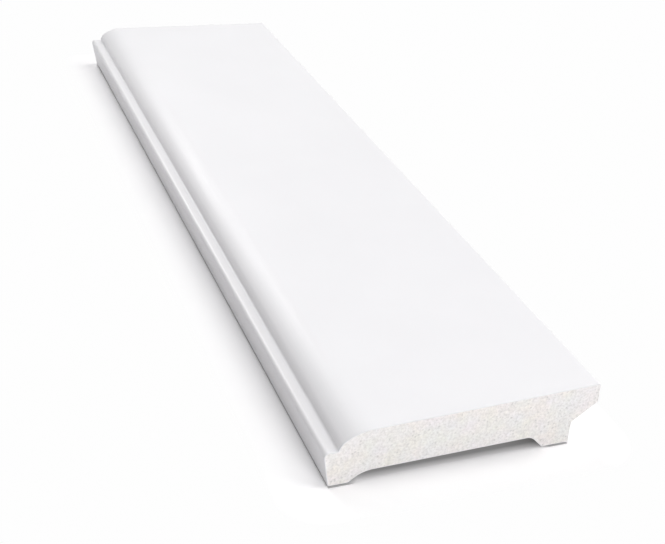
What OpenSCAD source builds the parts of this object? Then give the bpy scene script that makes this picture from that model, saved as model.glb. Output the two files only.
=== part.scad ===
// Skirting board: one moulded length lying on its back, cut square at both ends.
// X runs across the board from the moulded edge (-X) to the base edge (+X),
// Y runs along its length, Z runs up from the back to the face. Millimetres.

/* [Overall] */
// Overall width, from the moulded nose to the base edge
board_width = 108; // [90:1:150]
// Length of the cut piece
board_length = 390; // [200:1:2400]
// Thickness at the base edge, from the back to the face
base_thickness = 25.7; // [20:0.1:32]
// How much lower the flat face would be at the nose than at the base edge
face_fall = 4.25; // [0:0.05:6]

/* [Moulded edge] */
// How far the small shelf lies below the face
mould_depth = 6.75; // [5:0.05:8.5]
// Distance of the quirk from the nose, which sets the width of the shelf
quirk_inset = 5.1; // [4.5:0.05:8]
// Radius of the nose
nose_r = 2.4; // [1:0.1:3.5]
// How far the nose stands out past the foot below it
nose_overhang = 2.8; // [0.2:0.1:4]
// Tight radius of the moulding where it leaves the quirk
mould_tight_r = 4.65; // [2:0.05:6]
// Long radius of the moulding where it runs into the face
mould_long_r = 16.8; // [10:0.1:40]

/* [Base edge] */
// Depth of the base edge, from the face down to where its lower corner turns
edge_height = 7.5; // [5:0.1:10]
// How far the lower corner of the base edge stands out past the upper one
edge_lean = 1.0; // [0:0.1:2]
// Radius of the lower corner of the base edge
edge_corner_r = 1.2; // [0.4:0.1:2]
// How far the notch behind the base edge reaches in
notch_depth = 9.6; // [6:0.1:14]
// Height of the foot's side where the slant of the notch meets it
notch_foot_height = 9.5; // [7:0.1:11]
// Radius of the inner corner of the notch
notch_inner_r = 0.8; // [0.3:0.1:2]

/* [Back] */
// Depth of the hollow between the two feet, on the side of the base edge
recess_depth = 5.5; // [4:0.05:6.5]
// How much lower the hollow's top would be at the nose than at the base edge
recess_fall = 2.25; // [0:0.05:2.75]
// Width of the glue foot under the moulded edge
nose_foot_width = 7.6; // [4:0.1:12]
// Width of the glue foot next to the notch
base_foot_width = 12.1; // [6:0.1:16]
// How far that foot spreads towards the base edge on its way down
foot_spread = 0.9; // [0:0.1:2]
// Radius of the cove that runs from the hollow to the foot under the moulded edge
cove_r = 11.5; // [7:0.1:20]
// Slope of the hollow's other side, in degrees from the floor
ramp_angle = 44; // [30:1:60]
// Radius between that slope and the hollow
ramp_fillet_r = 5.2; // [2:0.1:8]

/* [Edges] */
// Rounding of the arris between the face and the base edge
face_arris_r = 0.8; // [0.3:0.1:2]
// Rounding of the foot's outer corner under the nose
nose_foot_r = 1.2; // [0.3:0.1:2]
// Rounding of the other foot's two corners
foot_arris_r = 0.4; // [0.2:0.1:0.8]
// Rounding where the cove comes down to the foot
heel_r = 1.2; // [0.3:0.1:2]

/* [Colour] */
// Colour of the moulding
board_colour = "#f2f1ee";

/* [Hidden] */
$fn = 96;
// Hair's breadth by which an arc crosses the line or arc that it runs into, so that the cut is clean
hair = 0.001;

function unit(v) = v / norm(v);
function turn(v, a) = [v[0] * cos(a) - v[1] * sin(a), v[0] * sin(a) + v[1] * cos(a)];
// Direction in which a line from p touches the circle of radius r round c, turned anticlockwise from the centre
function touching(p, c, r) = turn(unit(c - p), asin(r / norm(c - p)));
// The same, turned clockwise
function touching_under(p, c, r) = turn(unit(c - p), -asin(r / norm(c - p)));
// Where the line from p along d meets the line from q along e
function meeting(p, d, q, e) = p + d * (cross(q - p, e) / cross(d, e));

// Direction and normal of the face
face_slope = atan(face_fall / board_width);
face_dir = [cos(face_slope), sin(face_slope)];
face_normal = [-sin(face_slope), cos(face_slope)];
face_corner = [board_width - edge_lean, base_thickness];
// Nose, and the wall below it, which touches its round
shelf_z = base_thickness - face_fall - mould_depth;
nose_c = [nose_r, shelf_z - nose_r];
wall_foot = [nose_overhang, 0];
wall_dir = touching(wall_foot, nose_c, nose_r);
nose_corner = wall_foot + wall_dir * (shelf_z / wall_dir[1]);
// Two arcs of the moulding: the tight one stands on the shelf, the long one joins it to the face
quirk = [quirk_inset, shelf_z];
tight_c = [quirk_inset + mould_tight_r, shelf_z];
tight_depth = (face_corner - tight_c) * face_normal + hair;
tight_reach = mould_tight_r - hair;
long_shift = sqrt((tight_depth - tight_reach) * (2 * mould_long_r - tight_reach - tight_depth));
long_c = tight_c + face_dir * long_shift - face_normal * (mould_long_r - tight_depth);
arcs_meet_dir = unit(tight_c - long_c);
long_end = long_c + face_normal * mould_long_r;
face_over_quirk = face_corner - face_dir * ((face_corner[0] - quirk_inset) / face_dir[0]);
// Base edge: its lower corner is the round that the edge and the slant of the notch both touch
edge_c = [board_width - edge_corner_r, base_thickness - edge_height];
notch_in = [board_width - notch_depth, notch_foot_height];
edge_corner = meeting(face_corner, touching(face_corner, edge_c, edge_corner_r),
                      notch_in, touching_under(notch_in, edge_c, edge_corner_r));
// Back
base_foot_out = [notch_in[0] + foot_spread, 0];
base_foot_in = [base_foot_out[0] - base_foot_width, 0];
nose_foot_in = [nose_overhang + nose_foot_width, 0];
ramp_top = [base_foot_in[0] - recess_depth / tan(ramp_angle), recess_depth];
recess_slope = atan(recess_fall / board_width);
recess_dir = [cos(recess_slope), sin(recess_slope)];
recess_normal = [-sin(recess_slope), cos(recess_slope)];
// Cove: it touches the hollow's top and comes down to the inner side of the foot under the nose
cove_line = ramp_top - recess_normal * cove_r;
cove_back = (cove_line - nose_foot_in) * recess_dir;
cove_low = (cove_line - nose_foot_in) * recess_normal;
cove_c = cove_line + recess_dir * (sqrt(cove_r * cove_r - cove_low * cove_low) - cove_back);
cove_top = cove_c + recess_normal * cove_r;
// Round that touches the floor and the cove, where the cove comes down
heel_c = [cove_c[0] - sqrt(pow(cove_r + heel_r, 2) - pow(heel_r - cove_c[1], 2)), heel_r];
// Share by which cutting shapes reach past what they cut
past_share = 0.25;

// What lies between the corner p and a circle that touches its sides at t1 and t2.
// Taken away it rounds an outer corner, added it fills an inner one.
module sliver(p, c, t1, t2, r) {
  difference() {
    polygon([c, t1, t1 + (t1 - c) * past_share, p + unit(p - c) * r, t2 + (t2 - c) * past_share, t2]);
    translate(c) circle(r = r + hair);
  }
}

// The same for a corner p of two straight sides that run to a and b
module corner_sliver(p, a, b, r) {
  u = unit(a - p);
  v = unit(b - p);
  half = acos(u * v) / 2;
  sliver(p, p + unit(u + v) * (r / sin(half)), p + u * (r / tan(half)), p + v * (r / tan(half)), r);
}

// What the moulding's two arcs leave of the square corner over the quirk
module mould_waste() {
  difference() {
    polygon([tight_c, quirk - [mould_depth, 0], face_over_quirk + [-mould_depth, mould_depth],
             tight_c + arcs_meet_dir * (mould_tight_r + mould_depth)]);
    translate(tight_c) circle(r = mould_tight_r);
  }
  difference() {
    polygon([tight_c, quirk - [mould_depth, 0], face_over_quirk + [-mould_depth, mould_depth],
             long_end + face_normal * mould_depth, long_end]);
    translate(long_c) circle(r = mould_long_r);
  }
}

// Straight outline, with the notch's inner corner filled
module solid_outline() {
  polygon([wall_foot, nose_corner, quirk, face_over_quirk, face_corner, edge_corner, notch_in, base_foot_out]);
  corner_sliver(notch_in, base_foot_out, edge_corner, notch_inner_r);
}

// Hollow between the feet: cove on one side, slope with a fillet on the other
module recess_outline() {
  intersection() {
    translate(cove_c) circle(r = cove_r + hair);
    polygon([[0, -recess_depth], [cove_c[0] + cove_r * past_share, -recess_depth],
             [cove_c[0] + cove_r * past_share, 2 * recess_depth], [0, 2 * recess_depth]]);
  }
  difference() {
    polygon([[cove_top[0], -recess_depth], cove_top, ramp_top, base_foot_in, base_foot_in - [0, recess_depth]]);
    corner_sliver(ramp_top, cove_top, base_foot_in, ramp_fillet_r);
  }
}

module section() {
  difference() {
    solid_outline();
    recess_outline();
    mould_waste();
    corner_sliver(nose_corner, wall_foot, quirk, nose_r);
    corner_sliver(wall_foot, nose_corner, nose_foot_in, nose_foot_r);
    sliver(nose_foot_in, heel_c, [heel_c[0], 0], heel_c + unit(cove_c - heel_c) * heel_r, heel_r);
    corner_sliver(base_foot_in, ramp_top, base_foot_out, foot_arris_r);
    corner_sliver(base_foot_out, base_foot_in, notch_in, foot_arris_r);
    corner_sliver(edge_corner, notch_in, face_corner, edge_corner_r);
    corner_sliver(face_corner, edge_corner, long_end, face_arris_r);
  }
}

module skirting_board() {
  color(board_colour)
    translate([-board_width / 2, board_length / 2, 0])
      rotate([90, 0, 0])
        linear_extrude(height = board_length) section();
}

skirting_board();
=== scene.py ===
"""Skirting board: the dressed board, its floor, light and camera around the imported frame.

Everything is in the frame's own axes: X across the board from the moulded edge to the
base edge, Y along it, Z up from the floor. The section is worked out in millimetres, as
in the part's source, and every mesh is made in metres.
"""

import math

import bpy
import numpy as np
from mathutils import Matrix, Vector, noise
from mathutils.geometry import delaunay_2d_cdt


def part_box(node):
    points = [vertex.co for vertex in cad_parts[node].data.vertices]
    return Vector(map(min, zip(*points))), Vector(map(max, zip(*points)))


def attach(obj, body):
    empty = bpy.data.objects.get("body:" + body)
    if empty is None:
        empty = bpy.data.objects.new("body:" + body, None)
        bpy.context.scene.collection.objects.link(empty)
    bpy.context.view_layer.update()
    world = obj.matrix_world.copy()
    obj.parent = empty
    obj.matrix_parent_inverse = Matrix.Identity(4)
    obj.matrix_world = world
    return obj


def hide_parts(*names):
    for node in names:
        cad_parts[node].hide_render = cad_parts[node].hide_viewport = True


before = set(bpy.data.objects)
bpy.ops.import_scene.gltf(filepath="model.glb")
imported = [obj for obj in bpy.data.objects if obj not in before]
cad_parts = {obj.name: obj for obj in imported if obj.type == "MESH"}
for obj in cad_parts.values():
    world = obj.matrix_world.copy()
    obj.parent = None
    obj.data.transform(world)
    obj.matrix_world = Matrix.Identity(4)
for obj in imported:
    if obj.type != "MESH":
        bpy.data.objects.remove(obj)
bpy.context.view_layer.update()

NODE = "skirting_board"
MM = 0.001

# Sizes of the section: the part's, set a little closer to the photo where the part has
# nose_r 2.4, edge_height 7.5, edge_corner_r 1.2 and base_foot_width 12.1
BOARD_WIDTH = 108.0
BOARD_LENGTH = 390.0
BASE_THICKNESS = 25.7
FACE_FALL = 4.25
MOULD_DEPTH = 6.75
QUIRK_INSET = 5.1
NOSE_R = 1.6
NOSE_OVERHANG = 2.8
MOULD_TIGHT_R = 4.65
MOULD_LONG_R = 16.8
EDGE_HEIGHT = 8.0
EDGE_LEAN = 1.0
EDGE_CORNER_R = 0.9
NOTCH_DEPTH = 9.6
NOTCH_FOOT_HEIGHT = 9.5
NOTCH_INNER_R = 0.8
RECESS_DEPTH = 5.5
RECESS_FALL = 2.25
NOSE_FOOT_WIDTH = 7.6
BASE_FOOT_WIDTH = 11.5
FOOT_SPREAD = 0.9
COVE_R = 11.5
RAMP_ANGLE = math.radians(44)
RAMP_FILLET_R = 5.2
FACE_ARRIS_R = 0.8
NOSE_FOOT_R = 1.2
FOOT_ARRIS_R = 0.4
HEEL_R = 1.2
# Fill of coat in the quirk, which only the scene has, and how far up the tight arc it reaches,
# in radii of the fill
QUIRK_FILL_R = 0.9
QUIRK_FILL_REACH = 1.6

# Longest steps of the outline
ARC_STEP = math.radians(5)
LINE_STEP = 0.6
SHARP_ANGLE = math.radians(50)

# Arris at the saw cuts, larger at the feet; it takes at most a share of the coat
CUT_ARRIS_R = 0.2
FOOT_CUT_R = 0.35
ARRIS_TURNS = (0, 30, 60, 90)
ARRIS_SHARE = 0.8

# Rim of coat around the cut, thinner in the notch; how uneven it is, its waves per mm, and how
# far apart in the noise the two ends lie
COAT_THICKNESS = 0.36
COAT_THIN = 0.16
COAT_UNEVEN = 0.1
COAT_WAVES = 0.9
COAT_ENDS_APART = 3.3

# Moving a loop inwards: limit on the mitre at sharp corners, and against folds the number of
# tries, the share of a side that has to be left, and the step back
LEAST_MITRE = 0.4
UNFOLD_TRIES = 60
LEAST_SIDE = 0.25
STEP_BACK = 0.9

# Points on the cut foam: spacing, the shares of it that they stray and that they keep off the
# rim, and how near two of them count as one
FOAM_STEP = 0.32
FOAM_STRAY = 0.3
FOAM_CLEAR = 0.55
FOAM_MERGE = 1e-7
SEED = 11

# Relief of the cut foam: how far apart in the noise the two ends lie, and the width by the rim
# over which it fades in
FOAM_ENDS_APART = 37.0
FOAM_FADE = 0.8
# Waves per mm, depth
GRAIN = (2.2, 0.05)
ROLL = (0.45, 0.05)
# Cells per mm, shift, steepness, scale of the draw, the lot above which a cell is open, depth
OPEN_CELLS = (0.85, (0, 0, 0), 1.9, 5.3, 0.35, 0.10)
PITS = (0.33, (5.1, 2.7, 0), 2.6, 7.7, 0.72, 0.22)

# Values between which a noise of a material is spread to the full range
NOISE_SPAN = (0.3, 0.7)

# Coat: tones of the face and of the duller back, the fall of a side's normal over which it turns
# into the back, stretch of the die lines, roughness of the face, what the lines and the back add
# to it, and the shares of peel and lines in the bump
FACE_TONES = ((0.877, 0.870, 0.887, 1), (0.891, 0.884, 0.901, 1))
BACK_TONES = ((0.80, 0.795, 0.785, 1), (0.85, 0.845, 0.835, 1))
BACK_FALL = (-0.35, -0.65)
LINE_STRETCH = 0.02
FACE_ROUGH = (0.36, 0.42)
LINE_ROUGH = (-0.03, 0.03)
BACK_ROUGH = (0.0, 0.22)
PEEL_SHARE, LINE_SHARE = 0.6, 0.4

# Foam: cool and warm tones, each from plain to pink, the tone of the grain, the painted shade of
# open cells and the tone of bright cells, the spans of the noises that darken it with the shares
# they reach, and for the shaded open and the bright cells the span of their lots and their share
COOL_TONES = ((0.956, 0.953, 0.963, 1), (1.0, 0.953, 0.963, 1))
WARM_TONES = ((0.956, 0.953, 0.900, 1), (1.0, 0.953, 0.900, 1))
GRAIN_TONE = (0.60, 0.58, 0.565, 1)
OPEN_CELL_SHADE_TONE = (0.42, 0.41, 0.405, 1)
BRIGHT_TONE = (0.98, 0.965, 0.95, 1)
PATCH_SHIFT = (0.31, 0.17, 0.23)
SPECKLE_SPAN, SPECKLE_SHARE = (0.36, 0.60), 0.41
BLOTCH_SPAN, BLOTCH_SHARE = (0.36, 0.56), 0.12
CELL_SPAN = (0.15, 0.5)
OPEN_CELL_SHADE_LOTS, OPEN_CELL_SHADE_SHARE = (0.70, 0.80), 0.33
BRIGHT_LOTS, BRIGHT_SHARE = (0.74, 0.8), 0.7
FOAM_ROUGH = (0.92, 0.74)

# Floor (m), its two tones, and how the camera sees it: gain by the board, and where it turns
# white
FLOOR_SIZE = 8.0
FLOOR_DROP = 0.00045
FLOOR_TONES = ((0.815, 0.808, 0.815), (0.825, 0.818, 0.825))
FLOOR_ROUGH = 0.6
FLOOR_GAIN = 1.44
FLOOR_WHITE = 0.99
WHITE_FROM = 0.003
WHITE_BY = 0.017

# Painted shade in the floor's colour under the feet, along their ends and in the hollow: how deep
# it is, and in mm where it begins and is full, outwards from the feet's sides or the board's ends
FOOT_SHADE = 0.45
FOOT_END_SHADE = 0.5
HOLLOW_SHADE = 0.63
FOOT_EDGE = (0.2, -0.4)
FOOT_BACK = (-BASE_FOOT_WIDTH, -0.68 * BASE_FOOT_WIDTH)
FOOT_END_OUTER = (0.7, 0.2)
FOOT_END_INNER = (-0.4, 0.1)
HOLLOW_SIDE = (-2.0, -5.0)
HOLLOW_END = (0.0, -4.0)

# Softboxes: azimuth from -Y and elevation in degrees, distance (m), width as a share of the
# distance, strength
LAMPS = [
    (0, 25, 1.2, 0.5, 0.535),
    (330, 10, 1.2, 0.5, 0.067),
    (60, 25, 3.6, 0.5, 0.534),
    (60, 50, 3.6, 0.5, 0.062),
    (90, 25, 3.6, 0.5, 0.260),
    (90, 50, 3.6, 0.5, 0.145),
    (90, 75, 3.6, 0.5, 0.206),
    (120, 50, 3.6, 0.5, 0.164),
    (175, 42, 3.6, 0.25, 0.090),
    (185, 32, 3.6, 0.25, 0.146),
    (185, 52, 3.6, 0.25, 0.225),
    (195, 32, 3.6, 0.25, 0.170),
    (205, 42, 3.6, 0.25, 0.152),
    (215, 32, 3.6, 0.25, 0.058),
    (210, 50, 3.6, 0.5, 0.075),
]
# Azimuths between which a softbox also shines in the coat; the others would whiten the face
# as seen from behind
SHINE_FROM, SHINE_TO = 150, 240
LAMP_POWER = 6.173
LAMP_AIM = Vector((0, -0.05, 0))
WORLD_FILL = 0.04
WORLD_TINT = (0.96, 0.97, 1.0, 1)

# Camera (mm for the lens, m for the rest), fitted to the near cut end's corners, the far end
# and the long edges
LENS, SENSOR_WIDTH, SHIFT_X = 58.5295, 36.0, -0.0789
CLIP_START, CLIP_END = 0.01, 50.0
EYE = Vector((-0.177947, -0.441428, 0.245345))
RIGHT = Vector((0.904787, -0.401041, 0.143274))
DOWN = Vector((-0.091339, -0.511348, -0.854506))
AHEAD = Vector((0.415955, 0.760059, -0.499291))


# ---- Section ---------------------------------------------------------------------

def unit(v):
    return v / np.linalg.norm(v)


def turned(v, a):
    return np.array([v[0] * math.cos(a) - v[1] * math.sin(a),
                     v[0] * math.sin(a) + v[1] * math.cos(a)])


def touching(p, c, r, side):
    """Direction from p that touches the circle round c, on its left (1) or right (-1)."""
    return turned(unit(c - p), side * math.asin(r / np.linalg.norm(c - p)))


def sloping(rise):
    """Direction and normal of a line that rises by so much over the board's width."""
    a = math.atan(rise / BOARD_WIDTH)
    return np.array([math.cos(a), math.sin(a)]), np.array([-math.sin(a), math.cos(a)])


def meeting(p, d, q, e):
    """Where the line from p along d meets the line from q along e."""
    cross = lambda a, b: a[0] * b[1] - a[1] * b[0]
    return p + d * (cross(q - p, e) / cross(d, e))


def arc(c, r, start, end):
    """Points on a circle from direction start to direction end, the short way round."""
    a = math.atan2(start[1], start[0])
    sweep = (math.atan2(end[1], end[0]) - a + math.pi) % (2 * math.pi) - math.pi
    n = max(2, math.ceil(abs(sweep) / ARC_STEP))
    return [c + r * np.array([math.cos(a + sweep * i / n), math.sin(a + sweep * i / n)])
            for i in range(n + 1)]


def rounded(before, corner, after, r):
    """The round of radius r that takes the place of a corner."""
    u, v = unit(before - corner), unit(after - corner)
    half = math.acos(float(np.clip(u @ v, -1, 1))) / 2
    c = corner + unit(u + v) * (r / math.sin(half))
    return arc(c, r, corner + u * (r / math.tan(half)) - c, corner + v * (r / math.tan(half)) - c)


def outline():
    """The section's outline in mm, clockwise as seen from the near end, in short steps."""
    P = lambda x, z: np.array([x, z], float)
    face_dir, face_normal = sloping(FACE_FALL)
    face_corner = P(BOARD_WIDTH - EDGE_LEAN, BASE_THICKNESS)
    shelf = BASE_THICKNESS - FACE_FALL - MOULD_DEPTH
    wall_foot = P(NOSE_OVERHANG, 0)
    wall_dir = touching(wall_foot, P(NOSE_R, shelf - NOSE_R), NOSE_R, 1)
    nose_corner = wall_foot + wall_dir * (shelf / wall_dir[1])
    quirk = P(QUIRK_INSET, shelf)
    tight_c = P(QUIRK_INSET + MOULD_TIGHT_R, shelf)
    depth = (face_corner - tight_c) @ face_normal
    shift = math.sqrt((depth - MOULD_TIGHT_R) * (2 * MOULD_LONG_R - MOULD_TIGHT_R - depth))
    long_c = tight_c + face_dir * shift - face_normal * (MOULD_LONG_R - depth)
    meet_dir = unit(tight_c - long_c)
    edge_c = P(BOARD_WIDTH - EDGE_CORNER_R, BASE_THICKNESS - EDGE_HEIGHT)
    notch_in = P(BOARD_WIDTH - NOTCH_DEPTH, NOTCH_FOOT_HEIGHT)
    edge_corner = meeting(face_corner, touching(face_corner, edge_c, EDGE_CORNER_R, 1),
                          notch_in, touching(notch_in, edge_c, EDGE_CORNER_R, -1))
    base_foot_out = P(notch_in[0] + FOOT_SPREAD, 0)
    base_foot_in = P(base_foot_out[0] - BASE_FOOT_WIDTH, 0)
    nose_foot_in = P(NOSE_OVERHANG + NOSE_FOOT_WIDTH, 0)
    ramp_top = P(base_foot_in[0] - RECESS_DEPTH / math.tan(RAMP_ANGLE), RECESS_DEPTH)
    top_dir, top_normal = sloping(RECESS_FALL)
    cove_line = ramp_top - top_normal * COVE_R
    back, low = (cove_line - nose_foot_in) @ top_dir, (cove_line - nose_foot_in) @ top_normal
    cove_c = cove_line + top_dir * (math.sqrt(COVE_R ** 2 - low ** 2) - back)
    heel_c = P(cove_c[0] - math.sqrt((COVE_R + HEEL_R) ** 2 - (HEEL_R - cove_c[1]) ** 2), HEEL_R)
    heel_dir = unit(cove_c - heel_c)
    fill_end = math.pi - 2 * math.asin(QUIRK_FILL_R / MOULD_TIGHT_R / 2) * QUIRK_FILL_REACH
    parts = [
        rounded(nose_foot_in, wall_foot, nose_corner, NOSE_FOOT_R),
        rounded(wall_foot, nose_corner, quirk, NOSE_R),
        rounded(nose_corner, quirk, quirk + P(0, 1), QUIRK_FILL_R),
        arc(tight_c, MOULD_TIGHT_R, P(math.cos(fill_end), math.sin(fill_end)), meet_dir),
        arc(long_c, MOULD_LONG_R, meet_dir, face_normal)[1:],
        rounded(quirk + face_normal * MOULD_DEPTH, face_corner, edge_corner, FACE_ARRIS_R),
        rounded(face_corner, edge_corner, notch_in, EDGE_CORNER_R),
        rounded(edge_corner, notch_in, base_foot_out, NOTCH_INNER_R),
        rounded(notch_in, base_foot_out, base_foot_in, FOOT_ARRIS_R),
        rounded(base_foot_out, base_foot_in, ramp_top, FOOT_ARRIS_R),
        rounded(base_foot_in, ramp_top, cove_c + top_normal * COVE_R, RAMP_FILLET_R),
        arc(cove_c, COVE_R, top_normal, -heel_dir),
        arc(heel_c, HEEL_R, heel_dir, P(0, -1))[1:],
    ]
    corners = [p for part in parts for p in part]
    points = []
    for a, b in zip(corners, corners[1:] + corners[:1]):
        n = max(1, math.ceil(np.linalg.norm(b - a) / LINE_STEP))
        points += [a + (b - a) * (i / n) for i in range(n)]
    return np.array(points)


def inward(points):
    """For each point of a clockwise loop, the step that moves both its sides in by one."""
    d = np.roll(points, -1, 0) - points
    d /= np.linalg.norm(d, axis=1)[:, None]
    n = np.stack([d[:, 1], -d[:, 0]], 1)
    both = n + np.roll(n, 1, 0)
    return both / np.maximum(LEAST_MITRE, (both * both).sum(1) / 2)[:, None]


def unfolded(points, step, depth):
    """Depths at which the loop moves inwards without folding over itself at tight corners."""
    depth = np.array(depth, float)
    side = np.roll(points, -1, 0) - points
    for _ in range(UNFOLD_TRIES):
        moved = points + step * depth[:, None]
        folds = ((np.roll(moved, -1, 0) - moved) * side).sum(1) < LEAST_SIDE * (side * side).sum(1)
        if not folds.any():
            break
        depth[folds | np.roll(folds, 1)] *= STEP_BACK
    return depth


# ---- The board -------------------------------------------------------------------

def inside(points, loop):
    """True for each point that lies inside a closed loop."""
    x, z = points[:, 0:1], points[:, 1:2]
    a, b = loop, np.roll(loop, -1, 0)
    spans = (a[:, 1] > z) != (b[:, 1] > z)
    rise = np.where(b[:, 1] == a[:, 1], 1, b[:, 1] - a[:, 1])
    at = a[:, 0] + (z - a[:, 1]) * (b[:, 0] - a[:, 0]) / rise
    return (spans & (x < at)).sum(1) % 2 == 1


def distance_to(points, loop):
    """Least distance of each point from the loop's points."""
    return np.array([np.sqrt(((loop - p) ** 2).sum(1).min()) for p in points])


def swell(p, waves, depth):
    """Depth at p of a smooth unevenness."""
    return depth * (0.5 + 0.5 * noise.noise(p * waves))


def cups(p, cells, shift, steepness, draw, shut, depth):
    """Depth at p of cells hollowed like cups, some of which stay shut."""
    gap, seeds = noise.voronoi(p * cells + Vector(shift))
    return depth * max(0.0, 1 - gap[0] * steepness) * (noise.cell(seeds[0] * draw) > shut)


def foam_relief(x, z, end):
    """How far the cut foam lies below the plane of the cut, in mm."""
    p = Vector((x, z, end * FOAM_ENDS_APART))
    return swell(p, *GRAIN) + swell(p, *ROLL) + cups(p, *OPEN_CELLS) + cups(p, *PITS)


def build_board():
    """One closed mesh: moulded skin, small arrises at both cuts, coat edge and foam relief."""
    loop = outline()
    step = inward(loop)
    n = len(loop)
    verts, faces, slots = [], [], []

    def ring(points, y):
        first = len(verts)
        verts.extend((x - BOARD_WIDTH / 2, at, z)
                     for (x, z), at in zip(points, np.broadcast_to(y, n)))
        return first

    def bridge(a, b, slot):
        for i in range(n):
            j = (i + 1) % n
            faces.append((a + i, a + j, b + j, b + i))
            slots.append(slot)

    ends = {}
    for end in (-1, 1):
        plane = end * BOARD_LENGTH / 2
        rings = []
        uneven = np.array([noise.noise(Vector((x * COAT_WAVES, z * COAT_WAVES,
                                               end * COAT_ENDS_APART))) for x, z in loop])
        across, up = loop[:, 0], loop[:, 1]
        thin = (across > BOARD_WIDTH - NOTCH_DEPTH) & (up < BASE_THICKNESS - FACE_ARRIS_R)
        foot = np.clip(1 - up / FOOT_CUT_R, 0, 1)
        cut_r = CUT_ARRIS_R + (FOOT_CUT_R - CUT_ARRIS_R) * foot
        coat = np.where(thin, COAT_THIN, COAT_THICKNESS) + COAT_UNEVEN * uneven
        coat = np.maximum(coat, cut_r / ARRIS_SHARE)
        coat = unfolded(loop, step, np.where(thin, COAT_THIN, coat))
        arris = np.minimum(cut_r, ARRIS_SHARE * coat)
        for turn in ARRIS_TURNS:
            a = math.radians(turn)
            rings.append(ring(loop + step * (arris * (1 - math.cos(a)))[:, None],
                              plane - end * cut_r * (1 - math.sin(a))))
        edge = loop + step * coat[:, None]
        rings.append(ring(edge, plane))
        ends[end] = (rings, edge, plane)

    near, far = ends[-1][0], ends[1][0]
    bridge(near[0], far[0], 0)
    for a, b in zip(near, near[1:]):
        bridge(b, a, 0)
    for a, b in zip(far, far[1:]):
        bridge(a, b, 0)

    rng = np.random.default_rng(SEED)
    for end, (rings, edge, plane) in ends.items():
        low, high = edge.min(0), edge.max(0)
        gx, gz = np.meshgrid(np.arange(low[0], high[0], FOAM_STEP),
                             np.arange(low[1], high[1], FOAM_STEP))
        grid = np.stack([gx.ravel(), gz.ravel()], 1)
        grid += rng.uniform(-FOAM_STRAY, FOAM_STRAY, grid.shape) * FOAM_STEP
        grid = grid[inside(grid, edge)]
        room = distance_to(grid, edge)
        clear = room > FOAM_CLEAR * FOAM_STEP
        grid, room = grid[clear], room[clear]
        points = [Vector(p) for p in edge] + [Vector(p) for p in grid]
        rim = [(i, (i + 1) % n) for i in range(n)]
        # 1 asks for the triangles inside the rim alone
        flat, _, triangles, origin = delaunay_2d_cdt(points, rim, [list(range(n))], 1,
                                                     FOAM_MERGE)[:4]
        place = {}
        for i, (p, sources) in enumerate(zip(flat, origin)):
            source = min(sources)
            if source < n:
                place[i] = rings[-1] + source
            else:
                depth = min(1.0, room[source - n] / FOAM_FADE) * foam_relief(p.x, p.y, end)
                place[i] = len(verts)
                verts.append((p.x - BOARD_WIDTH / 2, plane - end * depth, p.y))
        for t in triangles:
            t = [place[i] for i in t]
            a, b, c = (np.array(verts[i])[[0, 2]] for i in t)
            area = (b - a)[0] * (c - a)[1] - (b - a)[1] * (c - a)[0]
            faces.append(tuple(t) if (area > 0) == (end < 0) else tuple(reversed(t)))
            slots.append(1)

    low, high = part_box(NODE)
    co = np.clip(np.array(verts) * MM, np.array(low), np.array(high))
    mesh = bpy.data.meshes.new("moulded_board")
    mesh.from_pydata(co.tolist(), [], faces)
    mesh.polygons.foreach_set("material_index", slots)
    mesh.polygons.foreach_set("use_smooth", [True] * len(faces))
    mesh.set_sharp_from_angle(angle=SHARP_ANGLE)
    mesh.validate()
    board = bpy.data.objects.new("moulded_board", mesh)
    bpy.context.scene.collection.objects.link(board)
    return board


# ---- Materials -------------------------------------------------------------------

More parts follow.
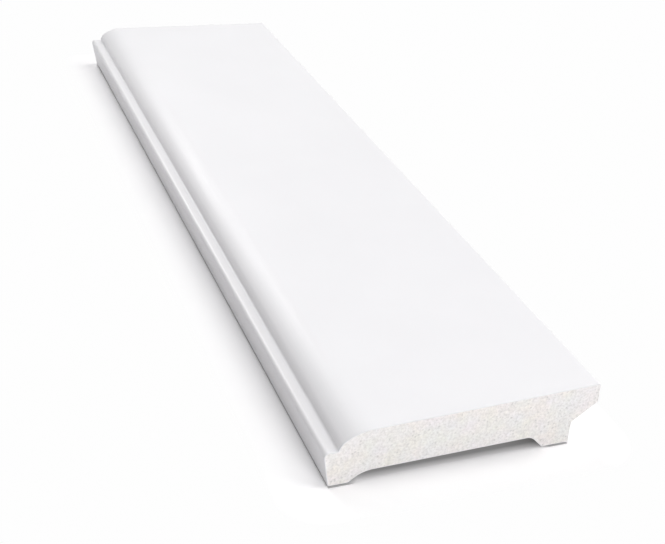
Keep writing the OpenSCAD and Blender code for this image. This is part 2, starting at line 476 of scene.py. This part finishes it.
class Shader:
    """The node tree of a material or of the world, with short calls to add and join its nodes."""

    def __init__(self, owner):
        self.owner = owner
        owner.use_nodes = True
        self.tree = owner.node_tree
        self.tree.nodes.clear()

    def add(self, kind, settings=None, **inputs):
        """A new node; in the name of an input, _ stands for a blank."""
        node = self.tree.nodes.new("ShaderNode" + kind)
        for key, value in (settings or {}).items():
            setattr(node, key, value)
        for key, value in inputs.items():
            self.put(node, key.replace("_", " "), value)
        return node

    def put(self, node, socket, value):
        """Joins a node's input to another node's output, or sets it to a constant."""
        if isinstance(value, bpy.types.NodeSocket):
            self.tree.links.new(value, node.inputs[socket])
        else:
            node.inputs[socket].default_value = value

    def stretched(self, scale):
        """Coordinates in the board's own metres, scaled."""
        source = self.add("TexCoord").outputs["Object"]
        return self.add("Mapping", Vector=source, Scale=scale).outputs[0]

    def noise(self, vector, scale, detail=2.0, roughness=0.5):
        return self.add("TexNoise", Vector=vector, Scale=scale, Detail=detail,
                        Roughness=roughness).outputs["Fac"]

    def spread(self, value, start, end, low=0.0, high=1.0):
        """What goes from low to high as the value goes from start to end, and no further."""
        return self.add("MapRange", {"clamp": True}, Value=value, From_Min=start, From_Max=end,
                        To_Min=low, To_Max=high).outputs["Result"]

    def mix(self, share, a, b):
        """The colour a where share is 0, and b where it is 1."""
        node = self.add("Mix", {"data_type": "RGBA"})
        # The node has an A and a B for each data type; 6 and 7 are the colours, out at 2
        for socket, value in ((0, share), (6, a), (7, b)):
            self.put(node, socket, value)
        return node.outputs[2]

    def calculated(self, operation, *values):
        node = self.add("Math", {"operation": operation})
        for i, value in enumerate(values):
            self.put(node, i, value)
        return node.outputs[0]

    def total(self, first, *others):
        for value in others:
            first = self.calculated("ADD", first, value)
        return first

    def times(self, a, b):
        return self.calculated("MULTIPLY", a, b)

    def vector(self, operation, *values):
        node = self.add("VectorMath", {"operation": operation})
        for i, value in enumerate(values):
            self.put(node, i, value)
        return node.outputs["Value" if operation == "LENGTH" else "Vector"]

    def either(self, share, a, b):
        """The shader a where share is 0, and b where it is 1."""
        node = self.add("MixShader")
        for i, value in enumerate((share, a, b)):
            self.put(node, i, value)
        return node.outputs[0]

    def seen(self):
        """1 for a ray from the camera, or by way of a reflection or a clear material."""
        paths = self.add("LightPath").outputs
        return self.total(paths["Is Camera Ray"], paths["Is Glossy Ray"],
                          paths["Is Transmission Ray"])

    def bump(self, height, strength, distance):
        return self.add("Bump", Height=height, Strength=strength, Distance=distance).outputs[0]

    def finish(self, shader, output="OutputMaterial"):
        self.put(self.add(output), "Surface", shader)
        return self.owner


def coat_material():
    """Factory coat: satin white with faint die lines and orange peel; the back is duller."""
    s = Shader(bpy.data.materials.new("matt_white_coat"))
    plain, along = s.stretched((1, 1, 1)), s.stretched((1, LINE_STRETCH, 1))
    clouds = s.spread(s.noise(plain, scale=28.0, detail=3.0), *NOISE_SPAN)
    peel = s.noise(plain, scale=1500.0)
    lines = s.noise(along, scale=900.0, detail=3.0)
    up = s.add("SeparateXYZ", Vector=s.add("TexCoord").outputs["Normal"]).outputs["Z"]
    under = s.spread(up, *BACK_FALL)
    colour = s.mix(under, s.mix(clouds, *FACE_TONES),
                   s.mix(s.spread(lines, *NOISE_SPAN), *BACK_TONES))
    rough = s.total(s.spread(clouds, 0.0, 1.0, *FACE_ROUGH),
                    s.spread(lines, *NOISE_SPAN, *LINE_ROUGH),
                    s.spread(under, 0.0, 1.0, *BACK_ROUGH))
    height = s.total(s.times(peel, PEEL_SHARE), s.times(lines, LINE_SHARE))
    shader = s.add("BsdfPrincipled", Base_Color=colour, Roughness=rough, Specular_IOR_Level=0.4,
                   Normal=s.bump(height, strength=0.12, distance=0.00004))
    return s.finish(shader.outputs[0])


def foam_material():
    """Bare foam on the saw cuts: off-white cells, the open ones darkened with painted shade, warm
    and cool patches, quite without shine.
    """
    s = Shader(bpy.data.materials.new("cut_foam"))
    plain = s.stretched((1, 1, 1))
    aside = s.add("Mapping", Vector=plain, Location=PATCH_SHIFT).outputs[0]
    pink = s.spread(s.noise(plain, scale=115.0), *NOISE_SPAN)
    yellow = s.spread(s.noise(aside, scale=130.0), *NOISE_SPAN)
    blotch = s.noise(plain, scale=520.0)
    speckle = s.noise(plain, scale=1000.0, detail=3.0, roughness=0.65)
    voronoi = s.add("TexVoronoi", {"feature": "F1"}, Vector=plain, Scale=820.0).outputs
    from_middle = voronoi["Distance"]
    lot = s.add("SeparateColor", Color=voronoi["Color"]).outputs
    middle = s.spread(from_middle, *CELL_SPAN, 1.0, 0.0)
    # Open cells: a mask for painted shade, deepest at a cell's middle where its hollow lies
    open_cell_shade = s.times(s.spread(lot["Red"], *OPEN_CELL_SHADE_LOTS), middle)
    bright = s.times(s.spread(lot["Green"], *BRIGHT_LOTS), middle)
    dark = s.total(s.spread(speckle, *SPECKLE_SPAN, SPECKLE_SHARE, 0.0),
                   s.spread(blotch, *BLOTCH_SPAN, BLOTCH_SHARE, 0.0))
    colour = s.mix(yellow, s.mix(pink, *COOL_TONES), s.mix(pink, *WARM_TONES))
    colour = s.mix(dark, colour, GRAIN_TONE)
    # Painted shade in the open cells' hollows
    colour = s.mix(s.times(open_cell_shade, OPEN_CELL_SHADE_SHARE), colour, OPEN_CELL_SHADE_TONE)
    colour = s.mix(s.times(bright, BRIGHT_SHARE), colour, BRIGHT_TONE)
    rough = s.spread(speckle, *NOISE_SPAN, *FOAM_ROUGH)
    height = s.total(s.spread(from_middle, 0.0, 0.7, 0.5, 0.0), s.times(speckle, 0.5))
    shader = s.add("BsdfPrincipled", Base_Color=colour, Roughness=rough, Specular_IOR_Level=0.2,
                   Normal=s.bump(height, strength=0.3, distance=0.0001))
    return s.finish(shader.outputs[0])


def floor_material():
    """Pale floor: plain to the lamps; the camera sees it paler, with painted shade by the feet and
    in the hollow, and white off the board.
    """
    s = Shader(bpy.data.materials.new("pale_floor"))
    place = s.stretched((1, 1, 1))
    mottle = s.spread(s.noise(place, scale=40.0), *NOISE_SPAN)
    colour = s.mix(mottle, *(tone + (1,) for tone in FLOOR_TONES))
    plain = s.add("BsdfDiffuse", Color=colour, Roughness=FLOOR_ROUGH).outputs[0]
    lifted = s.mix(mottle, *(tuple(FLOOR_GAIN * c for c in tone) + (1,) for tone in FLOOR_TONES))

    def between(distance, edge, reach):
        return s.spread(distance, *((edge + mm) * MM for mm in reach))

    # Painted shade by the feet and in the hollow, at both ends alike, darkening the colour the
    # camera sees
    feet_middle = (NOSE_OVERHANG - NOTCH_DEPTH + FOOT_SPREAD) / 2 * MM
    feet_half = (BOARD_WIDTH - NOTCH_DEPTH + FOOT_SPREAD - NOSE_OVERHANG) / 2
    half_length = BOARD_LENGTH / 2
    moved = s.add("Mapping", Vector=place, Location=(-feet_middle, 0, 0)).outputs[0]
    off = s.add("SeparateXYZ", Vector=s.vector("ABSOLUTE", moved)).outputs
    foot = s.times(between(off["X"], feet_half, FOOT_EDGE),
                   between(off["X"], feet_half, FOOT_BACK))
    under_foot = s.times(foot, between(off["Y"], half_length, FOOT_EDGE))
    foot_end = s.times(foot, s.times(between(off["Y"], half_length, FOOT_END_OUTER),
                                     between(off["Y"], half_length, FOOT_END_INNER)))
    in_hollow = s.times(between(off["X"], feet_half, HOLLOW_SIDE),
                        between(off["Y"], half_length, HOLLOW_END))
    shade = s.total(s.times(under_foot, FOOT_SHADE), s.times(foot_end, FOOT_END_SHADE),
                    s.times(in_hollow, HOLLOW_SHADE))
    # The floor colour the camera sees, darkened by the painted shade
    near = s.add("BsdfDiffuse", Color=s.mix(shade, lifted, (0, 0, 0, 1))).outputs[0]

    # White by the distance from the board's footprint
    past = s.vector("SUBTRACT", s.vector("ABSOLUTE", place),
                    (BOARD_WIDTH / 2 * MM, BOARD_LENGTH / 2 * MM, 0))
    away = s.spread(s.vector("LENGTH", s.vector("MAXIMUM", past, (0, 0, 0))), WHITE_FROM, WHITE_BY)
    white = s.add("Emission", Color=(1, 1, 1, 1), Strength=FLOOR_WHITE).outputs[0]
    return s.finish(s.either(s.seen(), plain, s.either(away, near, white)))


def studio_world():
    """An even soft light, and white where the camera or a reflection looks straight at it."""
    s = Shader(bpy.data.worlds.new("studio"))
    fill = s.add("Background", Color=WORLD_TINT, Strength=WORLD_FILL).outputs[0]
    white = s.add("Background", Color=(1, 1, 1, 1), Strength=1.0).outputs[0]
    return s.finish(s.either(s.seen(), fill, white), "OutputWorld")


# ---- Scene -----------------------------------------------------------------------

board = build_board()
board.data.materials.append(coat_material())
board.data.materials.append(foam_material())
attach(board, "root")
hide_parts(NODE)

half = FLOOR_SIZE / 2
corners = [(-half, -half), (half, -half), (half, half), (-half, half)]
floor_mesh = bpy.data.meshes.new("floor")
floor_mesh.from_pydata([(x, y, -FLOOR_DROP) for x, y in corners], [], [(0, 1, 2, 3)])
floor = bpy.data.objects.new("floor", floor_mesh)
bpy.context.scene.collection.objects.link(floor)
floor_mesh.materials.append(floor_material())

bpy.context.scene.world = studio_world()


def softbox(azimuth, elevation, distance, width, strength):
    """A square area lamp, aimed at the nearer half of the board."""
    data = bpy.data.lights.new("softbox", "AREA")
    data.shape = "SQUARE"
    data.size = width * distance
    data.energy = LAMP_POWER * strength * distance ** 2
    a, e = math.radians(azimuth), math.radians(elevation)
    way = Vector((math.sin(a) * math.cos(e), -math.cos(a) * math.cos(e), math.sin(e)))
    lamp = bpy.data.objects.new("softbox", data)
    lamp.location = LAMP_AIM + way * distance
    lamp.rotation_mode = "QUATERNION"
    lamp.rotation_quaternion = (-way).to_track_quat("-Z", "Y")
    lamp.visible_glossy = SHINE_FROM < azimuth < SHINE_TO
    bpy.context.scene.collection.objects.link(lamp)


for lamp in LAMPS:
    softbox(*lamp)

lens = bpy.data.cameras.new("camera")
lens.lens, lens.sensor_width, lens.shift_x = LENS, SENSOR_WIDTH, SHIFT_X
lens.clip_start, lens.clip_end = CLIP_START, CLIP_END
camera = bpy.data.objects.new("camera", lens)
axes = Matrix((RIGHT, -DOWN, -AHEAD)).transposed()
camera.matrix_world = Matrix.Translation(EYE) @ axes.to_4x4()
bpy.context.scene.collection.objects.link(camera)
bpy.context.scene.camera = camera

bpy.context.scene.view_settings.view_transform = "Standard"
